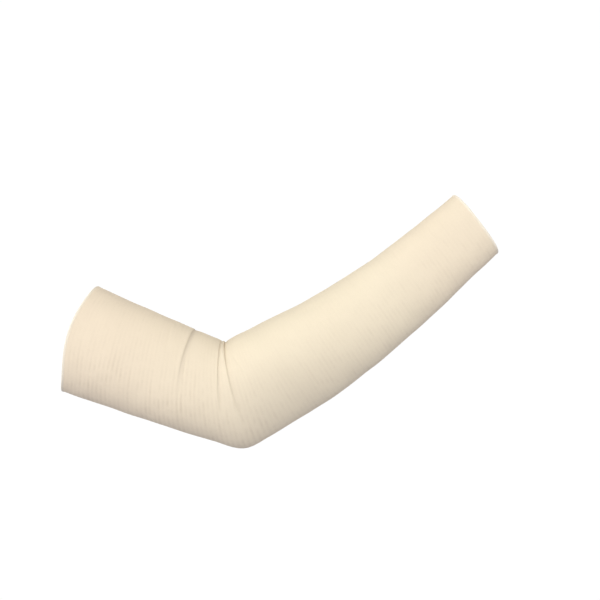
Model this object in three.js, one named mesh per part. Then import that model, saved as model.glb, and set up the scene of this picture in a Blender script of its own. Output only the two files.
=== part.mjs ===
// Arm sleeve: one seamless tube of elastic knit, open at the upper arm and at the wrist.
// It has the form that it takes on an arm bent at the elbow.
// Millimetres, +Z up. The arm lies in the XZ plane, with the upper arm towards -X, the wrist
// towards +X and the crook of the elbow on top. The origin is the middle of the elbow.

import * as THREE from 'three';
import { LoftGeometry } from 'three/addons/geometries/LoftGeometry.js';

// The knit: the thickness of the wall, and the radius of the round edge that finishes both ends.
const WALL = 1.2;
const EDGE_RADIUS = 0.9;

// Sections across the arm, from the upper arm to the wrist.
// x, z: middle of the section. tilt: direction from there to the crook side, in degrees above +X.
// width: from the crook side to the elbow side. depth: from the near side (-Y) to the far side.
// narrowing: how much slimmer than the crook side the elbow side is, as a share of the depth.
const SECTIONS = [
  { name: 'upper_edge', x: -125.9, z: 45.6, tilt: 73.2, width: 87.6, depth: 82, narrowing: 0 },
  { name: 'mid_upper_arm', x: -90.6, z: 31.8, tilt: 70.4, width: 84.5, depth: 80, narrowing: 0 },
  { name: 'lower_upper_arm', x: -60.7, z: 20.3, tilt: 70.4, width: 81.5, depth: 77, narrowing: 0.02 },
  { name: 'above_elbow', x: -38.2, z: 11.9, tilt: 72.0, width: 79.9, depth: 75, narrowing: 0.05 },
  { name: 'bend_start', x: -14.2, z: 3.6, tilt: 87.0, width: 80.8, depth: 74, narrowing: 0.09 },
  { name: 'bend_middle', x: -0.4, z: 0.4, tilt: 100.4, width: 86.4, depth: 74, narrowing: 0.11 },
  { name: 'bend_end', x: 11.4, z: 5.6, tilt: 111.6, width: 83.4, depth: 75, narrowing: 0.09 },
  { name: 'below_elbow', x: 27.9, z: 15.8, tilt: 123.0, width: 82.5, depth: 77, narrowing: 0.05 },
  { name: 'upper_forearm', x: 56.0, z: 31.6, tilt: 125.0, width: 79.5, depth: 76, narrowing: 0.03 },
  { name: 'mid_forearm', x: 83.2, z: 48.7, tilt: 125.0, width: 74.0, depth: 70, narrowing: 0.02 },
  { name: 'lower_forearm', x: 134.5, z: 86.9, tilt: 125.0, width: 65.2, depth: 54, narrowing: 0 },
  { name: 'above_wrist', x: 158.8, z: 107.9, tilt: 126.0, width: 61.7, depth: 48, narrowing: 0 },
  { name: 'wrist_edge', x: 191.7, z: 136.8, tilt: 127.0, width: 57.6, depth: 43, narrowing: 0 },
];

// Creases that run down both faces from the crook, where the knit is pushed together by the bend.
// section, shift: the section that the crease starts from, and how far past it towards the wrist.
// drift: how far it wanders towards the wrist on its way down.
// near, far: how far round the arm it reaches on each face, in degrees from the crook.
// depth, width: of the valley where it starts. lip: share of the depth that stands up as a lip,
// on the upper arm's side of the valley if it is positive and on the wrist's side if negative.
const CREASES = [
  { name: 'upper_crease', section: 'above_elbow', shift: -11.4, drift: 6.6, near: 88, far: 62,
    depth: 1.3, width: 2.0, lip: 1.2 },
  { name: 'middle_crease', section: 'bend_start', shift: 0, drift: 4, near: 104, far: 80,
    depth: 1.5, width: 3.4, lip: -0.5 },
  { name: 'crook_crease', section: 'bend_middle', shift: -4.5, drift: 7, near: 112, far: 92,
    depth: 1.9, width: 3.6, lip: 0.5 },
];

// Facets: points round a ring, the longest step between rings, steps to a crease's width,
// and the angles round the edge's half circle, outside to inside.
const SIDES = 36;
const LONGEST_STEP = 14;
const STEPS_PER_WIDTH = 2;
const EDGE_ANGLES = [110, 70, 35, 0, -35, -70, -110];

const KNIT_COLOUR = 0xf0e2c8;
const KNIT_ROUGHNESS = 0.95;

const COLUMNS = ['x', 'z', 'tilt', 'width', 'depth', 'narrowing'];

// Distance of each section from the upper edge, along the line through the sections' middles.
const sectionStations = [0];
for (let i = 1; i < SECTIONS.length; i += 1) {
  const run = SECTIONS[i].x - SECTIONS[i - 1].x;
  const rise = SECTIONS[i].z - SECTIONS[i - 1].z;
  sectionStations.push(sectionStations[i - 1] + Math.hypot(run, rise));
}
const LENGTH = sectionStations.at(-1);

const sectionCurve = new THREE.CubicInterpolant(
  sectionStations,
  SECTIONS.flatMap((row) => COLUMNS.map((column) => row[column])),
  COLUMNS.length,
);

const creases = CREASES.map((crease) => {
  const index = SECTIONS.findIndex((row) => row.name === crease.section);
  return { ...crease, station: sectionStations[index] + crease.shift };
});

// How far the creases move the knit out (+) or in (-) at a station and an angle from the crook.
// Across a crease the profile is a bell-shaped valley, tilted so that one side stands up as a lip.
function creaseLift(station, angle) {
  let lift = 0;
  for (const crease of creases) {
    const reach = angle < 180 ? crease.near : crease.far;
    const run = Math.min(Math.min(angle, 360 - angle) / reach, 1);
    const across = (station - crease.station - crease.drift * run) / crease.width;
    const fade = (1 - run * run) ** 2;
    lift -= crease.depth * fade * (1 + crease.lip * across) * Math.exp(-across * across);
  }
  return lift;
}

// One ring of points round the arm, from the crook over the near side.
// lift is its distance out from the sleeve's outer face.
function ring({ station, lift }) {
  const [x, z, tilt, width, depth, narrowing] = sectionCurve.evaluate(station);
  const middle = new THREE.Vector3(x, 0, z);
  const tiltRadians = THREE.MathUtils.degToRad(tilt);
  const toCrook = new THREE.Vector3(Math.cos(tiltRadians), 0, Math.sin(tiltRadians));
  const toNearSide = new THREE.Vector3(0, -1, 0);
  return Array.from({ length: SIDES }, (_, i) => {
    const angle = (360 * i) / SIDES;
    const radians = THREE.MathUtils.degToRad(angle);
    const out = lift + creaseLift(station, angle);
    const halfDepth = (depth / 2) * (1 + narrowing * Math.cos(radians));
    return middle.clone()
      .addScaledVector(toCrook, (width / 2 + out) * Math.cos(radians))
      .addScaledVector(toNearSide, (halfDepth + out) * Math.sin(radians));
  });
}

// Stations of the wall's rings between the two edges: close together across a crease, and further
// apart with the distance from it.
function wallStations() {
  const stations = [];
  const end = LENGTH - 2 * EDGE_RADIUS;
  let station = 2 * EDGE_RADIUS;
  while (station < end) {
    stations.push(station);
    const steps = creases.map((crease) => {
      const widthsAway = Math.abs(station - crease.station) / crease.width;
      return (crease.width / STEPS_PER_WIDTH) * Math.max(widthsAway - 1, 1);
    });
    station += Math.min(LONGEST_STEP, ...steps);
  }
  return stations;
}

// Rings of the round edge at one end, from the outer face to the inner face.
// direction is 1 at the wrist and -1 at the upper arm.
function edgeRings(end, direction) {
  return EDGE_ANGLES.map((degrees) => {
    const radians = THREE.MathUtils.degToRad(degrees);
    return {
      station: end + direction * EDGE_RADIUS * (Math.cos(radians) - 1),
      lift: EDGE_RADIUS * Math.sin(radians) - WALL / 2,
    };
  });
}

// The wall is one closed loop of rings: down the outside, round the wrist's edge, back up the
// inside, and round the upper edge to the first ring again.
function knitSleeve() {
  const stations = wallStations();
  const outside = stations.map((station) => ({ station, lift: 0 }));
  const inside = stations.map((station) => ({ station, lift: -WALL }));
  const loop = [
    ...outside,
    ...edgeRings(LENGTH, 1),
    ...inside.reverse(),
    ...edgeRings(0, -1).reverse(),
    outside[0],
  ];
  const mesh = new THREE.Mesh(
    new LoftGeometry(loop.map(ring)),
    new THREE.MeshStandardMaterial({ color: KNIT_COLOUR, roughness: KNIT_ROUGHNESS, metalness: 0 }),
  );
  mesh.name = 'knit_sleeve';
  return mesh;
}

const sleeve = new THREE.Group();
sleeve.add(knitSleeve());

export default sleeve;
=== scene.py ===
# %% [markdown]
# # An elastic knit arm sleeve
#
# The real sleeve is one seamless tube, knitted in the round from elastic cream yarn. It has no seam, hem
# tape or fastener: both ends are finished by a narrow edge that is knitted in. The CAD model gives its size
# and the form that it takes on a bent arm. This script works the same form out again on a much finer grid,
# so that the ribs, the creases and the edges are real shape, and then gives it the look of knitted yarn.
#
# The frame comes first. Everything below is in metres, in the CAD model's own frame.

# %% Load the frame
from collections import namedtuple

import bpy
import numpy as np
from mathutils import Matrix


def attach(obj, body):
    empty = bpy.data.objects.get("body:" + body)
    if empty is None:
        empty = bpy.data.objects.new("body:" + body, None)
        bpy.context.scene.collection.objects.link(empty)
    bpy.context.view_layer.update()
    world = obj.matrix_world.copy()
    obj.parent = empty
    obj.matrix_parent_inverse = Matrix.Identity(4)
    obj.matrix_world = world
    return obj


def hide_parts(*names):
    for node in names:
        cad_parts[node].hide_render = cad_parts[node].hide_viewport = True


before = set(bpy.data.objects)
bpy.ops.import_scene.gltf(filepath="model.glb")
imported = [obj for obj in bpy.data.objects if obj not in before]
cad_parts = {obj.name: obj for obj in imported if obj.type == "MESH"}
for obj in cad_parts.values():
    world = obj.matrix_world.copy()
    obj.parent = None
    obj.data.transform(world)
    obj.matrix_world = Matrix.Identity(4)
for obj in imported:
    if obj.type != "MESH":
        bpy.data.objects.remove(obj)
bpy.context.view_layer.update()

# %% [markdown]
# ## The form on the arm
#
# A tube on an arm is a row of oval sections. Each row of the table below is one section: its middle, the
# direction from there to the crook of the elbow, how wide and how deep it is, how much slimmer it is on the
# elbow's side, and its squareness, which is 2 for an ellipse and more for flatter faces. The last column is
# the pull: how far a rib of the knit moves towards the wrist on its way from the crook to the elbow's side.
# A few circles could be lofted by hand instead, but a table and a smooth curve through it give any number of
# rings, and every ring knows how far along the arm it lies.

# %% Sections along the arm
MM = 0.001

# x, z: the middle. tilt: in degrees above +X. narrowing: as a share of the depth. Lengths in millimetres.
Section = namedtuple("Section", "x z tilt width depth narrowing squareness pull")
UNITS = Section(x=MM, z=MM, tilt=1, width=MM, depth=MM, narrowing=1, squareness=1, pull=MM)
SECTIONS = {
    "upper_edge": Section(-125.9, 45.6, 73.2, 87.6, 82, -0.03, 2.1, 0),
    "mid_upper_arm": Section(-90.6, 31.8, 70.4, 84.5, 80, -0.04, 2.2, 11.5),
    "lower_upper_arm": Section(-60.7, 20.3, 70.4, 81.5, 77, -0.06, 2.2, 18.5),
    "above_elbow": Section(-38.2, 11.9, 72.0, 79.9, 75, -0.08, 2.2, 22),
    "bend_start": Section(-14.2, 3.6, 87.0, 80.8, 74, 0.02, 2.1, 11),
    "bend_middle": Section(-0.4, 0.4, 100.4, 86.4, 74, 0.15, 2.1, 0),
    "bend_end": Section(11.2, 6.1, 111.6, 84.5, 75, 0.19, 2.0, -5),
    "below_elbow": Section(27.9, 15.8, 123.0, 82.5, 77, 0.19, 2.0, -7),
    "upper_forearm": Section(56.0, 31.6, 125.0, 79.5, 76, 0.15, 2.0, -4),
    "mid_forearm": Section(83.2, 48.7, 125.0, 74.0, 70, 0.07, 2.1, 0),
    "lower_forearm": Section(134.5, 86.9, 125.0, 65.2, 54, 0.00, 2.3, 0),
    "above_wrist": Section(158.8, 107.9, 126.0, 61.7, 48, -0.03, 2.4, 0),
    "wrist_edge": Section(191.7, 136.8, 127.0, 57.6, 43, -0.05, 2.5, 0),
}
sections = np.array(list(SECTIONS.values())) * np.array(UNITS)
section_steps = np.hypot(*np.diff(sections[:, :2], axis=0).T)
section_stations = np.concatenate([[0], np.cumsum(section_steps)])
station_of = dict(zip(SECTIONS, section_stations))
LENGTH = section_stations[-1]
print("length along the arm:", round(LENGTH, 4), "m, through", len(sections), "sections")

# %% A smooth curve through the sections
def along_sections(station):
    """The section at any station: a Hermite cubic between two rows of the table, whose slope at each row is
    the mean of the slopes on its two sides, and at the two ends the slope of the last stretch."""
    secants = np.diff(sections, axis=0) / section_steps[:, None]
    slopes = np.vstack([secants[:1], (secants[:-1] + secants[1:]) / 2, secants[-1:]])
    row = np.searchsorted(section_stations, station, side="right") - 1
    row = np.clip(row, 0, len(section_steps) - 1)
    step = section_steps[row][..., None]
    share = (station - section_stations[row])[..., None] / step
    rest = 1 - share
    from_row = rest**2 * ((1 + 2 * share) * sections[row] + share * step * slopes[row])
    from_next = share**2 * ((1 + 2 * rest) * sections[row + 1] - rest * step * slopes[row + 1])
    return Section(*np.moveaxis(from_row + from_next, -1, 0))


halfway = along_sections(np.array([LENGTH / 2]))
print("halfway along, metres wide and deep:", halfway.width.round(4), halfway.depth.round(4))

# %% [markdown]
# ## Creases at the crook
#
# Bending the arm pushes the knit together on the inside of the elbow. It folds into three creases that start
# at the crook and run down both faces, fading out as they go, and a few faint wrinkles lie between them.
# Cloth simulation could fold it, but the folds of this photograph are few and have a place of their own.
# So each is a formula. A crease is a soft valley in the whole wall, and in it lies a sharp fold, where the
# cloth drops in one step and rises again slowly towards the wrist. The step is the thin dark line, darkened
# further by a painted shadow, and the slow rise is the pale band beside it.

# %% The table of creases
# section, shift: where the crease starts. drift, bend: how far its line wanders towards the wrist, and how
# late. near, far: its reach round each face, in degrees from the crook. depth, width, lip: of the valley.
# fold, rise: the depth of the sharp fold and the length of its slow rise. shadow, hold: how dark the fold's
# bottom is, and how long it stays dark on its way down. Lengths are in millimetres.
Crease = namedtuple("Crease", "section shift drift bend near far depth width lip fold rise shadow hold")
CREASES = [
    Crease("above_elbow", -8.6, 6.2, 3.6, 98, 70, 0.20, 2.6, 0.8, 0.60, 3.0, 1.00, 2),
    Crease("bend_start", 0.8, 3.8, 2.3, 108, 88, 0.45, 3.4, -0.4, 0.85, 2.4, 0.58, 4),
    Crease("bend_middle", -3.2, 7.0, 1.4, 120, 98, 0.65, 3.6, 0.5, 0.80, 3.2, 0.45, 4),
]
print("creases:", len(CREASES))

# %% Valleys of the creases
def from_crook(angle):
    """Degrees round from the crook, over either face."""
    return np.minimum(angle, 360 - angle)


def crease_path(crease, station, angle):
    """The share of a crease's reach that an angle is at, and the distance past its line in millimetres. The
    line bends towards the wrist as a power of that share."""
    run = np.minimum(from_crook(angle) / np.where(angle < 180, crease.near, crease.far), 1)
    from_section = (station - station_of[crease.section]) / MM
    return run, from_section - crease.shift - crease.drift * run**crease.bend


def crease_lift(station, angle):
    """Minus the depth, times a fade along the run, (1 - run^2)^2, times a bell across the crease that is
    tilted into a lip, (1 + lip * across) * exp(-across^2)."""
    lift = 0
    for crease in CREASES:
        run, past = crease_path(crease, station, angle)
        across = past / crease.width
        bell = (1 + crease.lip * across) * np.exp(-(across**2))
        lift = lift - crease.depth * (1 - run**2) ** 2 * bell
    return lift * MM


sample = np.linspace(0, LENGTH, 900)[:, None], np.array([[0.0, 45.0, 90.0]])
valleys = crease_lift(*sample).min(axis=0) / MM
print("valleys at 0, 45 and 90 degrees from the crook, mm:", valleys.round(2))

# %% Sharp folds
# length of the step in millimetres
FOLD_STEP = 0.55
# the lip before the step: its height as a share of the fold's depth, and its place and width as shares of
# the rise
FOLD_LIP_HEIGHT = 0.2
FOLD_LIP_PLACE = -0.5
FOLD_LIP_WIDTH = 0.5
# length of the shadow, as a share of the rise
FOLD_SHADOW_REACH = 0.65


def fold_drop(past, rise):
    """A step from 0 to 1 at the line, (1 + tanh(past / step)) / 2, that decays as exp(-past / rise)."""
    return (1 + np.tanh(past / FOLD_STEP)) / 2 * np.exp(-np.maximum(past, 0) / rise)


def fold_lift(station, angle):
    """Minus the fold's depth, times a fade, 1 - run^4, times the drop. A low bell just before the step makes
    the lip that hangs over it."""
    lift = 0
    for crease in CREASES:
        run, past = crease_path(crease, station, angle)
        from_lip = (past / crease.rise - FOLD_LIP_PLACE) / FOLD_LIP_WIDTH
        lip = FOLD_LIP_HEIGHT * np.exp(-(from_lip**2))
        lift = lift - crease.fold * (1 - run**4) * (fold_drop(past, crease.rise) - lip)
    return lift * MM


def fold_shadow(station, angle):
    """How much a fold keeps the light away, from 0 to 1: the drop with a shorter rise, times the crease's
    shadow and a fade, 1 - run^hold."""
    shadow = 0
    for crease in CREASES:
        run, past = crease_path(crease, station, angle)
        drop = fold_drop(past + FOLD_STEP, FOLD_SHADOW_REACH * crease.rise)
        shadow = shadow + crease.shadow * (1 - run**crease.hold) * drop
    return shadow


deepest = (crease_lift(*sample) + fold_lift(*sample)).min(axis=0) / MM
print("with the folds, mm:", deepest.round(2))

# %% Faint wrinkles
# section, shift: the wrinkle's middle. slant: how far it leans towards the wrist. middle, half: its middle
# and half length, in degrees from the crook. depth, width: of its valley. Lengths are in millimetres.
Wrinkle = namedtuple("Wrinkle", "section shift slant middle half depth width")
WRINKLES = [
    Wrinkle("above_elbow", -1.2, 2.5, 96, 20, 0.14, 1.5),
    Wrinkle("above_elbow", -3.0, 3.0, 74, 18, 0.14, 1.6),
    Wrinkle("bend_start", 3.2, 1.5, 90, 13, 0.22, 1.4),
    Wrinkle("bend_end", 2.0, 5.0, 60, 22, 0.22, 3.0),
    Wrinkle("above_elbow", -24.0, 4.0, 40, 26, 0.16, 3.2),
]


def wrinkle_lift(station, angle):
    """Minus the depth, times a bell along the wrinkle, times the second derivative of a bell across it, so
    that a small swell stands on both sides of each valley."""
    lift = 0
    for wrinkle in WRINKLES:
        along = (from_crook(angle) - wrinkle.middle) / wrinkle.half
        past = (station - station_of[wrinkle.section]) / MM - wrinkle.shift - wrinkle.slant * along
        across = past / wrinkle.width
        bells = np.exp(-(along**2)) * (1 - 2 * across**2) * np.exp(-(across**2))
        lift = lift - wrinkle.depth * bells
    return lift * MM


print("wrinkles:", len(WRINKLES), "at most", (-wrinkle_lift(*sample).min() / MM).round(2), "mm deep")

# %% [markdown]
# ## Ribs and a hand-made unevenness
#
# Elastic threads laid into the knit draw it into fine ribs that run round the arm, about 3.4 mm apart. They
# fan out round the bend, and on the elbow's side they are pulled towards the elbow from both ends. They are
# low, less than a tenth of a millimetre, yet they make the light break on the cloth. They stand out
# unevenly, and they fade over the forearm and towards the crook's side. A bump map would do from far away.
# Here they are real relief, a cosine of the rib count, so that close views show them from every side. Slow
# waves over the whole tube take away the look of a lathe.

# %% Slow waves
# length of a wave along the arm in millimetres, waves round it, start, share
SLOW_WAVES = [(61, 2, 1.3, 1.0), (37, -3, 0.4, 0.7), (23, 5, 2.2, 0.4)]
SLOW_WAVE_HEIGHT = 0.14 * MM


def wave_sum(waves, station, angle):
    """A sum of sine waves that run along and round the tube at once, each times its share."""
    total = 0
    for length, turns, start, share in waves:
        phase = 2 * np.pi * station / (length * MM) + turns * np.radians(angle) + start
        total = total + share * np.sin(phase)
    return total


def slow_wave_lift(station, angle):
    """The height of the slow waves, times their sum."""
    return SLOW_WAVE_HEIGHT * wave_sum(SLOW_WAVES, station, angle)


print("slow waves, at most", (slow_wave_lift(*sample).max() / MM).round(2), "mm high")

# %% Ribs
RIBS = 109
RIB_PITCH = LENGTH / RIBS
RIB_HEIGHT = 0.07 * MM
# shares of the strength that are left on the forearm and on the crook's side, and the degrees from the
# crook between which the rest comes up
RIB_ON_FOREARM = 0.55
RIB_ON_CROOK = 0.3
RIB_TURN = (60, 112)
# distances from an edge between which the ribs come up
RIB_FADE = (2.0 * MM, 7.0 * MM)
# uneven patches, as waves
RIB_PATCHES = [(56.55, 2, 0, 0.2), (8.168, -5, 0, 0.3)]


def smooth_step(value, low, high):
    """0 below low, 1 above high, and the cubic 3t^2 - 2t^3 between them."""
    t = np.clip((value - low) / (high - low), 0, 1)
    return t * t * (3 - 2 * t)


def rib_strength(station, angle):
    """How far the ribs stand out, from 0 to 1.5: a smooth step from 1 to the forearm's share, times one from
    the crook's share to 1, times uneven patches, faded out towards both edges, where the knit is plain."""
    on_forearm = smooth_step(station, station_of["bend_middle"], station_of["below_elbow"])
    on_crook = 1 - smooth_step(from_crook(angle), *RIB_TURN)
    shown = (1 - on_forearm * (1 - RIB_ON_FOREARM)) * (1 - on_crook * (1 - RIB_ON_CROOK))
    patches = 1 + wave_sum(RIB_PATCHES, station, angle)
    from_edge = np.minimum(station, LENGTH - station)
    return shown * patches * smooth_step(from_edge, *RIB_FADE)


def rib_count(station, angle):
    """How many ribs lie between the upper edge and a point: its station, moved by half the section's pull
    times the cosine of the angle, divided by the pitch."""
    pull = along_sections(station).pull
    return (station + pull / 2 * np.cos(np.radians(angle))) / RIB_PITCH


def rib_lift(station, angle):
    """Half the rib height times the strength times a cosine of the rib count."""
    return RIB_HEIGHT / 2 * rib_strength(station, angle) * np.cos(2 * np.pi * rib_count(station, angle))


print("ribs:", RIBS, "at a pitch of", round(RIB_PITCH / MM, 2), "mm")

# %% [markdown]
# ## Points of the knit
#
# With these parts, a point of the cloth is a function of two parameters: the station along the arm and the
# angle round it, counted from the crook over the near face. A third value, the lift, says how far the point
# stands out from the outer face, so the inner wall is the same surface at minus the wall's thickness.
#
# An arm in a tight sleeve has flatter faces than an ellipse, most of all at the wrist, so each section is a
# superellipse. And the upper edge of a worn sleeve is never a flat ring. Near it the cloth slides along the
# arm by a few cosines of the angle, which makes the edge wavy.

# %% The surface function
# millimetres towards the wrist: the mean, and the shares of the cosines of 1, 2, 3 and 4 times the angle
EDGE_WAVES = (0.9, -0.1, 1.2, 0.95, -0.7)
EDGE_WAVE_REACH = 26 * MM


def rounded(wave, squareness):
    """A sine or cosine raised to 2 / squareness with its sign kept, which turns an ellipse into a
    superellipse."""
    return np.sign(wave) * np.abs(wave) ** (2 / squareness)


def knit_points(station, angle, lift):
    """The point at a station and an angle: the section's middle, plus cos(angle) of half the width towards
    the crook, plus sin(angle) of half the depth towards the near side, both moved out by the lift and
    rounded to a superellipse. Near the upper edge it also slides along the arm, by a sum of cosines of the
    angle."""
    here = along_sections(station)
    tilt = np.radians(here.tilt)
    turn = np.radians(angle)
    half_depth = here.depth / 2 * (1 + here.narrowing * np.cos(turn))
    crook = (here.width / 2 + lift) * rounded(np.cos(turn), here.squareness)
    near = (half_depth + lift) * rounded(np.sin(turn), here.squareness)
    reach = np.exp(-((station / EDGE_WAVE_REACH) ** 2))
    slide = MM * reach * sum(wave * np.cos(order * turn) for order, wave in enumerate(EDGE_WAVES))
    across = here.x + crook * np.cos(tilt) + slide * np.sin(tilt)
    up = here.z + crook * np.sin(tilt) - slide * np.cos(tilt)
    return np.stack(np.broadcast_arrays(across, -near, up), axis=-1)


elbow_tip = knit_points(np.array([station_of["bend_middle"]]), np.array([180.0]), 0)
print("the elbow's tip, metres:", elbow_tip.round(4))

# %% [markdown]
# ## One closed loop of rings
#
# The wall has an outside, an inside and two rounded edges, and all of it is one piece of knit. So the grid
# is a closed loop of rings, as on a doughnut. It starts at the tip of the upper edge, goes down the outside,
# round the wrist's edge and back up the inside. The outside has five rings to a rib, and twice as many where
# the folds are sharp. The inside is plain and takes far fewer.

# %% Rings from the upper edge round to it again
WALL = 1.2 * MM
EDGE_RADIUS = 0.9 * MM
# degrees round the edge from its tip to a face, and the rings on the way
EDGE_TURN = 110
EDGE_RINGS = 7
SIDES = 124
FINE_RINGS_PER_RIB = 10
FOLD_MARGIN = 4 * MM
INSIDE_RINGS = 90

edge_turn = np.radians(np.linspace(0, EDGE_TURN, EDGE_RINGS))
edge_back = EDGE_RADIUS * (1 - np.cos(edge_turn))
edge_out = EDGE_RADIUS * np.sin(edge_turn)

fine_number = np.arange(RIBS * FINE_RINGS_PER_RIB)
fine_station = fine_number * (RIB_PITCH / FINE_RINGS_PER_RIB)
fold_starts = [station_of[crease.section] + crease.shift * MM for crease in CREASES]
first_fold = min(fold_starts) - FOLD_MARGIN
last_fold = max(fold_starts) + max(crease.drift for crease in CREASES) * MM + FOLD_MARGIN
among_folds = (fine_station > first_fold) & (fine_station < last_fold)
clear_of_edges = (fine_station > 2 * EDGE_RADIUS) & (fine_station < LENGTH - 2 * EDGE_RADIUS)
outside = fine_station[clear_of_edges & (among_folds | (fine_number % 2 == 0))]
inside = np.linspace(outside[-1], outside[0], INSIDE_RINGS)

to_wrist = np.concatenate([edge_back, outside, LENGTH - edge_back[::-1]])
to_wrist_out = np.concatenate([edge_out, outside * 0 + WALL / 2, edge_out[::-1]])
to_upper = np.concatenate([LENGTH - edge_back[1:], inside, edge_back[:0:-1]])
to_upper_out = np.concatenate([-edge_out[1:], inside * 0 - WALL / 2, -edge_out[:0:-1]])
ring_station = np.concatenate([to_wrist, to_upper])
ring_lift = np.concatenate([to_wrist_out, to_upper_out]) - WALL / 2
RINGS = len(ring_station)
wrist_tip = len(to_wrist) - 1
print("rings:", RINGS, "of", SIDES, "points, triangles:", 2 * RINGS * SIDES)

# %% Points of the whole loop
station = ring_station[:, None]
angle = (np.arange(SIDES) * 360 / SIDES)[None, :]
both_walls = crease_lift(station, angle) + slow_wave_lift(station, angle)
face_only = fold_lift(station, angle) + wrinkle_lift(station, angle) + rib_lift(station, angle)
is_face = np.arange(RINGS)[:, None] <= wrist_tip
points = knit_points(station, angle, ring_lift[:, None] + both_walls + np.where(is_face, face_only, 0))
print("points:", points.shape, "z from", points[..., 2].min().round(4), "to", points[..., 2].max().round(4))

# %% [markdown]
# ## From the grid to a mesh
#
# Neighbouring points of the grid make quads, and both directions wrap round. Two attributes on the points
# tell the material how dark each fold is, because cloth that touches cloth keeps the light out of the line
# between them, and how far the ribs stand out.
#
# Two UV maps go with it. The first counts stitches: wales (columns of stitches) round the arm and ribs along
# it, so that a pattern made from it follows every bend of the cloth. The second lays the outside and the
# inside flat, one above the other, which is what a texture baked from this material needs.

# %% The mesh
ring, side = np.meshgrid(np.arange(RINGS), np.arange(SIDES), indexing="ij")
corner_ring = np.stack([ring, ring, ring + 1, ring + 1], axis=-1)
corner_side = np.stack([side, side + 1, side + 1, side], axis=-1)
quads = (corner_ring % RINGS) * SIDES + corner_side % SIDES

sleeve_mesh = bpy.data.meshes.new("knit_sleeve_cloth")
sleeve_mesh.from_pydata(points.reshape(-1, 3), [], quads.reshape(-1, 4))
sleeve_mesh.shade_smooth()
sleeve = bpy.data.objects.new("knit_sleeve_cloth", sleeve_mesh)
bpy.context.scene.collection.objects.link(sleeve)
print("mesh:", len(sleeve_mesh.vertices), "points,", len(sleeve_mesh.polygons), "quads")

# %% Attributes for the folds and the ribs
def add_attribute(name, values):
    """Writes one number for every point of the grid."""
    layer = sleeve_mesh.attributes.new(name, "FLOAT", "POINT")
    layer.data.foreach_set("value", values.astype(np.float32).ravel())


add_attribute("fold_shadow", np.where(is_face, fold_shadow(station, angle), 0))
add_attribute("rib_strength", rib_strength(station, angle))
print("attributes:", [layer.name for layer in sleeve_mesh.attributes if layer.data_type == "FLOAT"])

# %% UV maps for the stitches and for baking
WALES = 240
# shares of the baked picture's height: the outside's, and the gap between it and the inside
FACE_SHARE = 0.74
GUTTER = 0.004


def add_uv(name, u, v):
    """Writes one UV map from arrays of u and v for every corner of every quad."""
    layer = sleeve_mesh.uv_layers.new(name=name)
    layer.uv.foreach_set("vector", np.stack([u, v], axis=-1).astype(np.float32).ravel())


corner_turn = corner_side / SIDES
corner_ribs = rib_count(station, angle)[corner_ring % RINGS, corner_side % SIDES]
add_uv("KnitUV", corner_turn * WALES, corner_ribs)

ring_gap = np.linalg.norm(np.roll(points, -1, axis=0) - points, axis=-1).mean(axis=1)
travelled = np.concatenate([[0], np.cumsum(ring_gap)])
face_length = travelled[wrist_tip]
down_the_face = travelled / face_length
up_the_back = 1 - (travelled - face_length) / (travelled[-1] - face_length)
on_face = corner_ring[..., :1] < wrist_tip
flat_along = np.where(on_face, down_the_face[corner_ring], up_the_back[corner_ring])
flat_round = np.where(on_face, corner_turn * FACE_SHARE, 1 - corner_turn * (1 - FACE_SHARE - GUTTER))
add_uv("OFBake", flat_along, flat_round)
print("UV maps:", [layer.name for layer in sleeve_mesh.uv_layers])

# %% [markdown]
# ## Knitted yarn
#
# Close up, the face of a plain knit shows columns of little V shapes: every stitch is a loop with two
# slanted legs. The back shows the loops' arcs instead. Both come from the same few sums on the stitch map,
# so they are one node group with a slant as its input. It puts out a height for the bump and a mask of the
# gaps between the strands. A second group holds the yarn's unevenness, as three noises. A photograph of real
# knit could be used instead, but it would repeat, and it would have a size of its own. The shader itself
# stays in each material.

# %% Node helpers
def place(tree, kind, inputs=(), **settings):
    """Adds a node, sets its properties and fills its inputs: a socket is linked, anything else is set."""
    node = tree.nodes.new(kind)
    for name, value in settings.items():
        setattr(node, name, value)
    for key, value in dict(inputs).items():
        if isinstance(value, bpy.types.NodeSocket):
            tree.links.new(value, node.inputs[key])
        else:
            node.inputs[key].default_value = value
    return node


def calculate(tree, operation, first, second=0.0, third=0.0):
    """One Math node's result."""
    return place(tree, "ShaderNodeMath", {0: first, 1: second, 2: third}, operation=operation).outputs[0]


def new_group(name, inputs, outputs):
    """An empty shader node group with these number sockets, and its inner input and output sockets."""
    tree = bpy.data.node_groups.new(name, "ShaderNodeTree")
    for socket in inputs:
        tree.interface.new_socket(socket, in_out="INPUT", socket_type="NodeSocketFloat")
    for socket in outputs:
        tree.interface.new_socket(socket, in_out="OUTPUT", socket_type="NodeSocketFloat")
    return tree, tree.nodes.new("NodeGroupInput").outputs, tree.nodes.new("NodeGroupOutput").inputs


# %% The stitch pattern
STRAND_SHARE = 0.6


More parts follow.
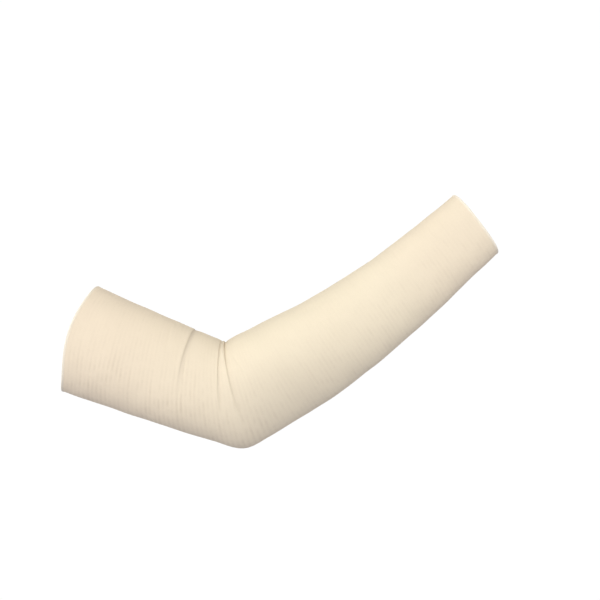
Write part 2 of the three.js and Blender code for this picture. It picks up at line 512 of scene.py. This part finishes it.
def make_stitches():
    """Within a wale, across runs from 0 in its middle to 1 at its borders, and a sine of it gives two legs.
    Along the wale, a sine of the course count gives the strands, slanted by across into a V. The gap is the
    square of 1 minus the height, a mask by which the materials paint shade between the strands."""
    tree, given, result = new_group("knit_stitches", ["Wale", "Course", "Slant"], ["Height", "Gap"])
    wale = calculate(tree, "FRACT", given["Wale"])
    across = calculate(tree, "ABSOLUTE", calculate(tree, "MULTIPLY_ADD", wale, 2.0, -1.0))
    leg = calculate(tree, "SINE", calculate(tree, "MULTIPLY", across, np.pi))
    slanted = calculate(tree, "MULTIPLY_ADD", given["Slant"], across, given["Course"])
    course = calculate(tree, "FRACT", slanted)
    strand = calculate(tree, "SINE", calculate(tree, "MULTIPLY", course, np.pi))
    along = calculate(tree, "MULTIPLY_ADD", strand, STRAND_SHARE, 1 - STRAND_SHARE)
    height = calculate(tree, "MULTIPLY", leg, along)
    gap = calculate(tree, "POWER", calculate(tree, "SUBTRACT", 1.0, height), 2.0)
    tree.links.new(height, result["Height"])
    tree.links.new(gap, result["Gap"])
    return tree


stitches = make_stitches()
print("stitch group:", len(stitches.nodes), "nodes")

# %% The yarn's tone
TONE_SCALES = {"Slow": 24.0, "Patch": 130.0, "Fine": 1100.0}
TONE_DETAIL = 3.0


def make_yarn_tone():
    """Three noises on the object's own coordinates, centred on 0: a slow one for the dye, one for patches in
    which the painted shade between the ribs is stronger, and a fine one for single strands."""
    tree, _, result = new_group("yarn_tone", [], TONE_SCALES)
    where = tree.nodes.new("ShaderNodeTexCoord").outputs["Object"]
    for name, scale in TONE_SCALES.items():
        noise = place(tree, "ShaderNodeTexNoise", {"Vector": where, "Scale": scale, "Detail": TONE_DETAIL})
        tree.links.new(calculate(tree, "SUBTRACT", noise.outputs["Fac"], 0.5), result[name])
    return tree


yarn_tone = make_yarn_tone()
print("yarn tone group:", len(yarn_tone.nodes), "nodes")

# %% [markdown]
# ## Two finishes, face and back
#
# Both sides are the same cream yarn, a little rosier towards the two ends. On the face the ribs stand up,
# and painted shade darkens the valleys between them and the gaps between the strands. The back is plainer
# and warmer, because it is the elastic threads that show there, and darker, as painted shade inside the
# tube. A painted highlight makes a pale thin line along the knitted-in edges, where they catch the light.
#
# Two materials could be built by hand, node by node. Here one function builds both from their own few
# values, because only colours and strengths differ. Cotton-like yarn is matte with a soft sheen from its
# loose fibres, which the Principled shader's sheen gives.

# %% Shade of the yarn
# how strongly each noise of the yarn's tone works on the painted rib shade, the dye and the strands
RIB_PATCHINESS = 6.0
DYE_SHADE = 0.16
STRAND_SHADE = 0.22


def painted_shade_and_dye(tree, ribs, stitch, tone, rib_shade, gap_shade):
    """How far the colour goes towards the deep one: painted shade between the ribs, a cosine of the rib
    count from 0 on a rib to rib_shade between two, times the ribs' strength and uneven patches, plus painted
    shade in the gaps between strands and two noises of dye and strand tone."""
    rib = calculate(tree, "COSINE", calculate(tree, "MULTIPLY", ribs, 2 * np.pi))
    # painted shade in the valleys between the ribs
    valley = calculate(tree, "MULTIPLY_ADD", rib, -rib_shade / 2, rib_shade / 2)
    strength = place(tree, "ShaderNodeAttribute", attribute_name="rib_strength").outputs["Fac"]
    patch = calculate(tree, "MULTIPLY_ADD", tone["Patch"], RIB_PATCHINESS, 1.0)
    shade = calculate(tree, "MULTIPLY", calculate(tree, "MULTIPLY", valley, strength), patch)
    # painted shade in the gaps between the strands
    shade = calculate(tree, "MULTIPLY_ADD", stitch["Gap"], gap_shade, shade)
    shade = calculate(tree, "MULTIPLY_ADD", tone["Slow"], DYE_SHADE, shade)
    return calculate(tree, "MULTIPLY_ADD", tone["Fine"], STRAND_SHADE, shade)


# %% Colour of the yarn
# rib counts: the last rosy rib of the upper arm, and where the wrist gets rosy
ROSY_UPPER = station_of["upper_forearm"] / RIB_PITCH
ROSY_WRIST = (0.72 * RIBS, 0.9 * RIBS)
ROSY_WRIST_SHARE = 0.6
# painted highlight: the pale line where each rounded edge catches the light, the rib counts from an edge
# over which it fades, and its share
EDGE_HIGHLIGHT = (0.93, 0.86, 0.71, 1.0)
EDGE_HIGHLIGHT_RIBS = (0.25, 0.75)
EDGE_HIGHLIGHT_SHARE = 0.8
# painted shadow: the colour mixed into the bottom of each fold, where cloth keeps the light out
PAINTED_FOLD_SHADOW = (0.52, 0.44, 0.34, 1.0)


def step_between(tree, value, low, high, before, after):
    """One Map Range node's result: a smooth step from before to after, while value goes from low to high."""
    limits = {0: value, 1: low, 2: high, 3: before, 4: after}
    return place(tree, "ShaderNodeMapRange", limits, interpolation_type="SMOOTHSTEP").outputs[0]


def mix_colour(tree, factor, first, second):
    """One Mix node's colour: its factor and its two colours are inputs 0, 6 and 7."""
    return place(tree, "ShaderNodeMix", {0: factor, 6: first, 7: second}, data_type="RGBA").outputs[2]


def yarn_colour(tree, ribs, shade, pale, rosy, deep_and_shaded):
    """Pale yarn, mixed with the rosy colour towards both ends and with the deep one by the shade, which is
    painted shade and dye. The distance from an edge folds the rib count over at the middle, and mixes in a
    painted highlight along each edge. A painted shadow in the folds mixes in the darkest."""
    at_upper_arm = step_between(tree, ribs, 0.0, ROSY_UPPER, 1.0, 0.0)
    at_wrist = step_between(tree, ribs, *ROSY_WRIST, 0.0, ROSY_WRIST_SHARE)
    warmth = calculate(tree, "ADD", at_upper_arm, at_wrist)
    yarn = mix_colour(tree, shade, mix_colour(tree, warmth, pale, rosy), deep_and_shaded)
    from_edge = calculate(tree, "PINGPONG", ribs, RIBS / 2)
    edge_highlight = step_between(tree, from_edge, *EDGE_HIGHLIGHT_RIBS, EDGE_HIGHLIGHT_SHARE, 0.0)
    # painted highlight along each edge
    yarn = mix_colour(tree, edge_highlight, yarn, EDGE_HIGHLIGHT)
    # painted shadow in the folds, by the fold_shadow attribute
    fold_shade = place(tree, "ShaderNodeAttribute", attribute_name="fold_shadow").outputs["Fac"]
    return mix_colour(tree, fold_shade, yarn, PAINTED_FOLD_SHADOW)


print("rosy up to rib", round(ROSY_UPPER), "and from rib", round(ROSY_WRIST[0]), "of", RIBS)

# %% One function for both finishes
COURSES_PER_RIB = 3
STITCH_RELIEF = 0.2 * MM
STRAND_RELIEF = 0.5
YARN_FINISH = {
    "Roughness": 0.92,
    "Specular IOR Level": 0.1,
    "Sheen Weight": 0.03,
    "Sheen Roughness": 0.5,
    "Sheen Tint": (1.0, 0.95, 0.86, 1.0),
}


def knit_material(name, pale, rosy, deep_and_shaded, slant, rib_shade, gap_shade, bump):
    """Matte yarn with its shade and colour, and the stitches and strands as a bump. The stitch map counts
    wales in u and ribs in v."""
    material = bpy.data.materials.new(name)
    material.use_nodes = True
    tree = material.node_tree
    shader = tree.nodes["Principled BSDF"]
    stitch_map = place(tree, "ShaderNodeUVMap", uv_map="KnitUV").outputs["UV"]
    counts = place(tree, "ShaderNodeSeparateXYZ", {0: stitch_map}).outputs
    ribs = counts["Y"]
    course = calculate(tree, "MULTIPLY", ribs, COURSES_PER_RIB)
    stitch_inputs = {"Wale": counts["X"], "Course": course, "Slant": slant}
    stitch = place(tree, "ShaderNodeGroup", stitch_inputs, node_tree=stitches).outputs
    tone = place(tree, "ShaderNodeGroup", node_tree=yarn_tone).outputs

    shade = painted_shade_and_dye(tree, ribs, stitch, tone, rib_shade, gap_shade)
    tree.links.new(yarn_colour(tree, ribs, shade, pale, rosy, deep_and_shaded), shader.inputs["Base Color"])
    height = calculate(tree, "MULTIPLY_ADD", tone["Fine"], STRAND_RELIEF, stitch["Height"])
    relief = place(tree, "ShaderNodeBump", {"Height": height, "Strength": bump, "Distance": STITCH_RELIEF})
    tree.links.new(relief.outputs["Normal"], shader.inputs["Normal"])
    for socket, value in YARN_FINISH.items():
        shader.inputs[socket].default_value = value
    return material


# %% The face and the back
knit_face = knit_material(
    "knit_face",
    pale=(0.87, 0.769, 0.578, 1.0),
    rosy=(0.87, 0.746, 0.568, 1.0),
    deep_and_shaded=(0.66, 0.55, 0.40, 1.0),
    slant=0.5,
    rib_shade=0.14,
    gap_shade=0.16,
    bump=0.3,
)
# The back's colours are darker than the face's: partly the warmer elastic threads that show there, partly
# painted shade inside the tube.
knit_back = knit_material(
    "knit_back",
    pale=(0.82, 0.72, 0.55, 1.0),
    rosy=(0.82, 0.705, 0.54, 1.0),
    deep_and_shaded=(0.60, 0.49, 0.34, 1.0),
    slant=0.15,
    rib_shade=0.2,
    gap_shade=0.3,
    bump=0.6,
)
sleeve_mesh.materials.append(knit_face)
sleeve_mesh.materials.append(knit_back)
sleeve_mesh.polygons.foreach_set("material_index", np.where(on_face, 0, 1).astype(np.int32).ravel())
print("materials:", [material.name for material in sleeve_mesh.materials])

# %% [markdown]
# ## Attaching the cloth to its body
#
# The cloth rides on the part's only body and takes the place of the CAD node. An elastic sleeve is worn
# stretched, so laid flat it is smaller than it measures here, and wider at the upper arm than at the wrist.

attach(sleeve, "root")
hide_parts("knit_sleeve")

# %% [markdown]
# ## A white studio
#
# The sleeve is photographed on white, with no shadow in sight. The floor is a wide plain sheet far below it,
# as white as the background, so that no line shows between them: it glows by itself instead of being lit. It
# gives the sleeve no light and takes none away, so that the lights below can be set without it.

# %% Floor
FLOOR_HEIGHT = -0.30
FLOOR_SIZE = 12.0
BACKGROUND_WHITE = 1.02
WHITE = (1.0, 1.0, 1.0, 1.0)
BLACK = (0.0, 0.0, 0.0, 1.0)

bpy.ops.mesh.primitive_plane_add(size=FLOOR_SIZE, location=(0, 0, FLOOR_HEIGHT))
floor = bpy.context.object
floor.name = "floor"
floor_white = bpy.data.materials.new("floor_white")
floor_white.use_nodes = True
floor_shader = floor_white.node_tree.nodes["Principled BSDF"]
floor_shader.inputs["Base Color"].default_value = BLACK
floor_shader.inputs["Specular IOR Level"].default_value = 0.0
floor_shader.inputs["Emission Color"].default_value = WHITE
floor_shader.inputs["Emission Strength"].default_value = BACKGROUND_WHITE
floor.data.materials.append(floor_white)
floor.visible_diffuse = False
floor.visible_glossy = False
floor.visible_shadow = False
print("floor at", FLOOR_HEIGHT, "m")

# %% [markdown]
# ## Light from a room and four softboxes
#
# Matte cloth shows its form only by how the light falls off over it. A soft room lights it from all sides, a
# little stronger and warmer from above than from below. Softboxes add to it: one in front, a little above
# the camera, makes the face bright and lets the knit darken towards its outline. One on the left is stronger
# than the one on the right. The fourth stands behind and is there for views of the far side. One bright lamp
# would be simpler, but it would give hard shadows, and the photograph has none.

# %% A room of two colours
# The room's light from straight below and straight above. What the camera sees of the room is plain white.
ROOM_BELOW = (0.43, 0.43, 0.505, 1.0)
ROOM_ABOVE = (0.555, 0.555, 0.555, 1.0)

studio = bpy.data.worlds.new("studio")
studio.use_nodes = True
room = studio.node_tree
room.nodes.clear()
direction = place(room, "ShaderNodeTexCoord").outputs["Generated"]
upward = place(room, "ShaderNodeSeparateXYZ", {0: direction}).outputs["Z"]
share_above = place(room, "ShaderNodeMapRange", {"Value": upward, "From Min": -1.0}).outputs["Result"]
room_colour = mix_colour(room, share_above, ROOM_BELOW, ROOM_ABOVE)
room_light = place(room, "ShaderNodeBackground", {"Color": room_colour, "Strength": 1.0})
white_wall = place(room, "ShaderNodeBackground", {"Color": WHITE, "Strength": BACKGROUND_WHITE})
seen = place(room, "ShaderNodeLightPath").outputs["Is Camera Ray"]
either = place(room, "ShaderNodeMixShader", {0: seen, 1: room_light.outputs[0], 2: white_wall.outputs[0]})
place(room, "ShaderNodeOutputWorld", {"Surface": either.outputs[0]})
bpy.context.scene.world = studio
bpy.context.scene.view_settings.view_transform = "Standard"
print("room light below and above:", ROOM_BELOW[0], ROOM_ABOVE[0])

# %% Softboxes
SOFTBOX_DISTANCE = 4.0
SOFTBOX_SIZE = 2.2
# degrees to the right of the camera's own side, degrees up, watts
SOFTBOXES = {
    "front_softbox": (0, 20, 78.0),
    "left_softbox": (-70, 10, 57.0),
    "right_softbox": (70, 10, 21.0),
    "behind_softbox": (180, 0, 80.0),
}


def softbox(name, azimuth, elevation, power):
    """A square area light that faces the elbow from the direction of an azimuth and an elevation."""
    turn, rise = np.radians([azimuth, elevation])
    away = np.array([np.sin(turn) * np.cos(rise), -np.cos(turn) * np.cos(rise), np.sin(rise)])
    lamp = bpy.data.lights.new(name, "AREA")
    lamp.size = SOFTBOX_SIZE
    lamp.energy = power
    box = bpy.data.objects.new(name, lamp)
    box.location = away * SOFTBOX_DISTANCE
    box.rotation_euler = (np.pi / 2 - rise, 0, turn)
    box.visible_camera = False
    bpy.context.scene.collection.objects.link(box)


for name, row in SOFTBOXES.items():
    softbox(name, *row)
print("softboxes:", list(SOFTBOXES))

# %% [markdown]
# ## The camera
#
# The photograph looks straight at the side of the arm, level with its middle, from less than a metre away:
# the round edges bulge towards the viewer. A 60 mm lens at 0.8 m gives that bulge and the same framing.

# %% Camera
CAMERA_DISTANCE = 0.80
VIEW_MIDDLE = (0.0512, 0.076)
LENS_LENGTH = 60
SENSOR_WIDTH = 36

lens = bpy.data.cameras.new("camera")
lens.lens = LENS_LENGTH
lens.sensor_width = SENSOR_WIDTH
camera = bpy.data.objects.new("camera", lens)
camera.location = (VIEW_MIDDLE[0], -CAMERA_DISTANCE, VIEW_MIDDLE[1])
camera.rotation_euler = (np.pi / 2, 0, 0)
bpy.context.scene.collection.objects.link(camera)
bpy.context.scene.camera = camera
print("camera at", tuple(round(value, 3) for value in camera.location))
